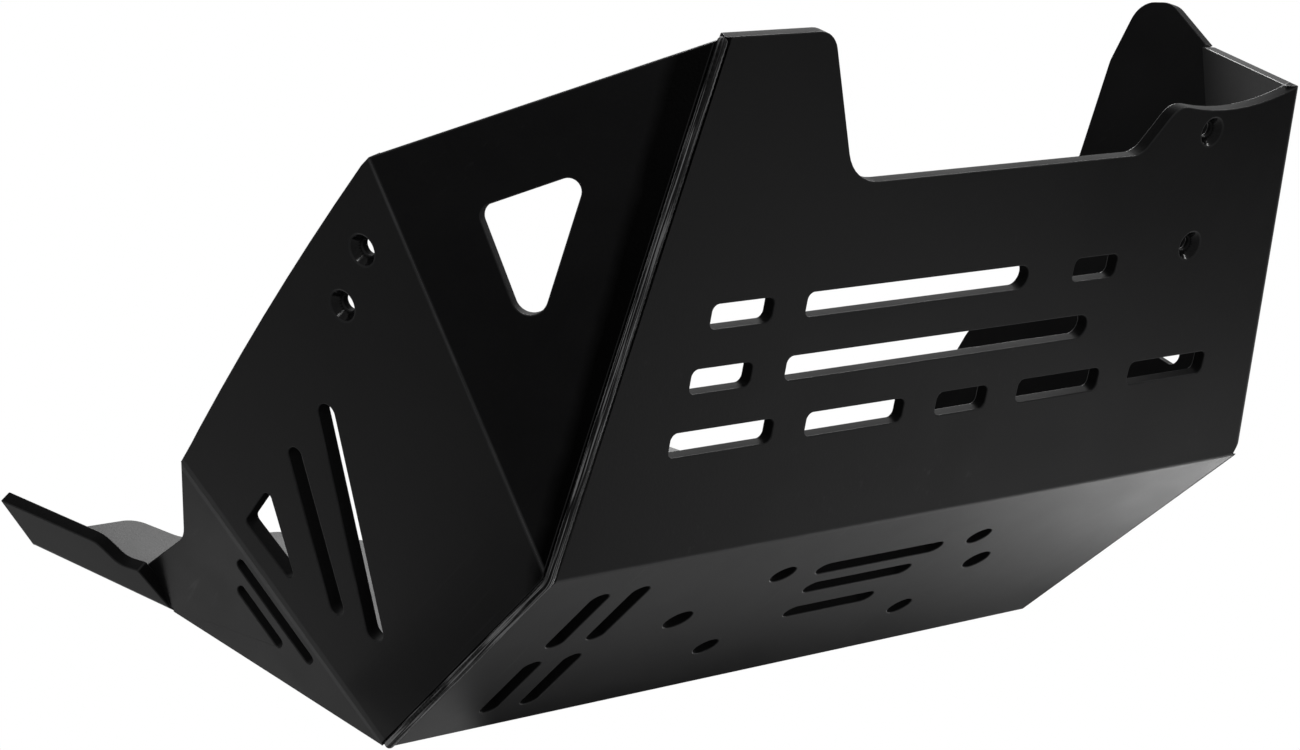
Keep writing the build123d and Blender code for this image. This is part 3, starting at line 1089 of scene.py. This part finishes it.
@dataclass
class Studio:
    """White surroundings, a pale floor, soft lamps and dark cards.

    Attributes:
        fill: strength of the light that comes from all round.
        floor: the floor's colour.
        floor_cloud: the colour of its clouds.
        clouds_per_m: how many clouds there are in a metre.
        reach: half the floor's side in metres.
        fade: share of the reach at which the floor begins to fade.
        card_black: the cards' colour.
        lamps: the soft lamps.
        cards: the dark cards.
    """

    fill: float = 0.35
    floor: Triple = (0.8, 0.8, 0.8)
    floor_cloud: Triple = (0.82, 0.82, 0.82)
    clouds_per_m: float = 6.0
    reach: float = 1.6
    fade: float = 0.35
    card_black: Triple = (0.002, 0.002, 0.002)
    lamps: tuple[SoftBox, ...] = (
        SoftBox("overhead", (-0.15, 1.15, 1.65), (0.0, 0.0, 0.05), 1.0, 38.0),
        SoftBox("low_left", (-0.85, 1.5, -0.42), (0.05, 0.15, 0.0), 0.5, 6.6),
        SoftBox("underneath", (0.05, 1.3, -1.25), (0.08, 0.15, 0.0), 0.5, 3.4),
        SoftBox("glint_left", (1.1, 1.3, 0.28), (0.17, 0.12, 0.08), 0.16, 5.0),
        SoftBox("glint_right", (0.86, -1.21, 0.47), (0.08, -0.23, 0.13), 0.16, 4.0),
        SoftBox("tail", (-1.5, -0.95, 0.16), (-0.1, -0.2, 0.06), 0.4, 2.0),
    )
    cards: tuple[DarkCard, ...] = (
        DarkCard("card_rear", (-1.68, 0.4, -0.5), (0.0, 0.0, 0.0), 0.7, 0.95),
        DarkCard("card_right", (-0.75, -1.0, 1.05), (-0.05, 0.2, 0.15), 1.3, 1.3),
        DarkCard("card_side", (-0.136, -1.568, -0.6), (0.414, -0.368, -0.3), 2.4, 1.6),
        DarkCard("card_front", (0.75, 1.3, -0.55), (0.15, 0.1, 0.05), 0.8, 0.8),
        DarkCard("card_under", (-0.13, 0.35, -0.027), (0.0, 0.35, -0.027), 0.922, 0.054),
        DarkCard("card_low", (-0.085, -0.42, -0.06), (0.0, -0.42, -0.06), 0.4, 0.18),
        DarkCard("card_corner", (0.35, 0.44, -0.09), (0.2, 0.15, 0.09), 0.4, 0.4),
    )

    def surroundings(self) -> None:
        """Make the world: plain white where it is seen, softer where it lights."""
        world = bpy.data.worlds.new("studio")
        bpy.context.scene.world = world
        world.use_nodes = True
        tree = world.node_tree
        light = tree.nodes["Background"]
        light.inputs["Color"].default_value = WHITE
        light.inputs["Strength"].default_value = self.fill
        shown = add_node(tree, "ShaderNodeBackground", Color=WHITE, Strength=1.0)
        path = tree.nodes.new("ShaderNodeLightPath").outputs
        seen = maths(tree, "MAXIMUM", path["Is Camera Ray"], path["Is Glossy Ray"])
        seen = maths(tree, "MAXIMUM", seen, path["Is Transmission Ray"])
        link(tree, mix_shaders(tree, seen, light, shown), tree.nodes["World Output"].inputs["Surface"])

    def ground(self) -> bpy.types.Object:
        """Lay the floor, which only the camera sees, from above, and which fades into the white.

        Returns:
            The floor object.
        """
        material, tree, shader = new_material("pale_floor", shine=0.1)
        shader.inputs["Roughness"].default_value = 0.9
        coords = object_coords(tree)
        cloud = noise(tree, coords, self.clouds_per_m, Detail=3.0)
        link(tree, blend_colour(tree, cloud, self.floor, self.floor_cloud), shader.inputs["Base Color"])
        camera = tree.nodes.new("ShaderNodeLightPath").outputs["Is Camera Ray"]
        under = tree.nodes.new("ShaderNodeNewGeometry").outputs["Backfacing"]
        shown = maths(tree, "MULTIPLY", camera, maths(tree, "SUBTRACT", 1.0, under))
        far = add_node(tree, "ShaderNodeVectorMath", operation="LENGTH")
        link(tree, coords, far.inputs[0])
        fade = spread(tree, far.outputs["Value"], self.fade * self.reach, self.reach, 1.0, 0.0)
        clear = tree.nodes.new("ShaderNodeBsdfTransparent")
        surface = mix_shaders(tree, maths(tree, "MULTIPLY", shown, fade), clear, shader)
        link(tree, surface, tree.nodes["Material Output"].inputs["Surface"])

        side, level = self.reach, CAD_BOX[0][2]
        corners = [(x * side, y * side, level) for x, y in ((-1, -1), (1, -1), (1, 1), (-1, 1))]
        mesh = bpy.data.meshes.new("floor")
        mesh.from_pydata(corners, [], [(0, 1, 2, 3)])
        mesh.materials.append(material)
        floor = bpy.data.objects.new("floor", mesh)
        bpy.context.scene.collection.objects.link(floor)
        return floor

    def build(self) -> None:
        """Make the surroundings, the floor, the lamps and the cards."""
        self.surroundings()
        self.ground()
        for lamp in self.lamps:
            lamp.build()
        black, _, shader = new_material("card_black", shine=0.0)
        shader.inputs["Base Color"].default_value = (*self.card_black, 1.0)
        for card in self.cards:
            card.build(black)


@dataclass
class Viewpoint:
    """The camera, low in front of the right-hand corner and looking up at the tray's underside.

    Attributes:
        place: position in metres.
        right: the picture's rightward direction.
        up: the picture's upward direction.
        lens: focal length in millimetres.
        sensor: width of the sensor in millimetres.
        clip: the nearest and the farthest distance that it sees.
    """

    place: Triple = (1.0136, -0.9745, -0.3956)
    right: Triple = (0.49629, 0.76663, -0.4074)
    up: Triple = (0.52507, 0.10866, 0.84409)
    lens: float = 94.154
    sensor: float = 36.0
    clip: Pair = (0.01, 50.0)

    def build(self) -> bpy.types.Object:
        """Make the camera and hand it to the scene.

        Returns:
            The camera object.
        """
        data = bpy.data.cameras.new("camera")
        data.lens = self.lens
        data.sensor_width = self.sensor
        data.clip_start, data.clip_end = self.clip
        camera = bpy.data.objects.new("camera", data)
        right = Vector(self.right).normalized()
        up = Vector(self.up)
        up = (up - right * up.dot(right)).normalized()
        turn = Matrix((right, up, right.cross(up))).transposed().to_4x4()
        camera.matrix_world = Matrix.Translation(self.place) @ turn
        bpy.context.scene.collection.objects.link(camera)
        bpy.context.scene.camera = camera
        return camera


FRONT_RIGHT: Triple = (0.06775, -0.2016, 0.0)
FRONT_LEFT: Triple = (0.06775, 0.193, 0.0)
REAR_RIGHT: Triple = (-0.0704, -0.2016, 0.0)
RIGHT_REAR_TOP: Triple = (-0.0683, -0.24111, 0.14055)
# The line of the painted shade leaves the seam a little towards its lower end, so that the band narrows
# there.
SEAM_SHADE_END: Triple = (0.07095, -0.19652, -0.00602)

TRAY = FoldedSheet(
    "tray",
    panels=(
        Panel((0.0, 0.0, 0.0), (0.0, 0.0, -1.0)),
        Panel(FRONT_RIGHT, (0.58779, 0.0, -0.80902)),
        Panel((-0.0704, 0.0, 0.0), (-0.82904, 0.0, -0.55919)),
        Panel(FRONT_LEFT, (-0.1674, 0.9637, -0.2079)),
        Panel(FRONT_LEFT, (0.3856, 0.8435, -0.3738)),
        Panel((-0.1833, -0.2507, 0.16738), (-0.2168, -0.8274, -0.5181)),
    ),
    screws=(0.172, 0.12455, 0.08168),
)
SIDE_SHEET = FoldedSheet(
    "side_sheet",
    panels=(
        Panel(FRONT_RIGHT, (0.0, -0.9627, -0.2706)),
        Panel(FRONT_RIGHT, (0.4756, -0.7801, -0.4064)),
        Panel(REAR_RIGHT, (-0.1045, -0.9578, -0.2677)),
    ),
    screws=(0.08235, -0.23424, 0.13386),
    thickness=0.007,
)
BEADS = (
    WeldBead(
        "seam_right",
        path=((0.23956, -0.16109, 0.12638), (0.06729, -0.20084, 0.00108), (-0.0704, -0.20075, 0.00112)),
    ),
    WeldBead("seam_left_front", path=((0.06989, 0.19345, 0.0068), (0.13034, 0.24013, 0.17448))),
    WeldBead("seam_left_rear", path=((-0.07342, 0.16872, 0.00646), (-0.13278, 0.17739, 0.09446))),
)


def main() -> None:
    """Build the camera, the pieces and the studio in order."""
    logging.basicConfig(level=logging.INFO, format="%(message)s")
    bpy.context.scene.view_settings.view_transform = "Standard"
    Viewpoint().build()
    shared = SurfaceEffects()
    effects = Effects(shared.grain(), shared.unevenness(), shared.rubbing(), shared.line_band())
    filler = BeadFinish().build(effects)
    seat = SeatFinish().build(effects)
    TRAY.build(SheetFinish("tray_satin_black").build(effects), seat)
    # The side sheet gets painted shade beside the right seam and a painted highlight along its rear crease.
    seam_shade = (BEADS[0].path[0], SEAM_SHADE_END)
    side = SheetFinish("side_sheet_satin_black", seam=seam_shade, crease=(REAR_RIGHT, RIGHT_REAR_TOP))
    SIDE_SHEET.build(side.build(effects), seat)
    for bead in BEADS:
        bead.build(filler)
    Studio().build()


if __name__ == "__main__":
    main()
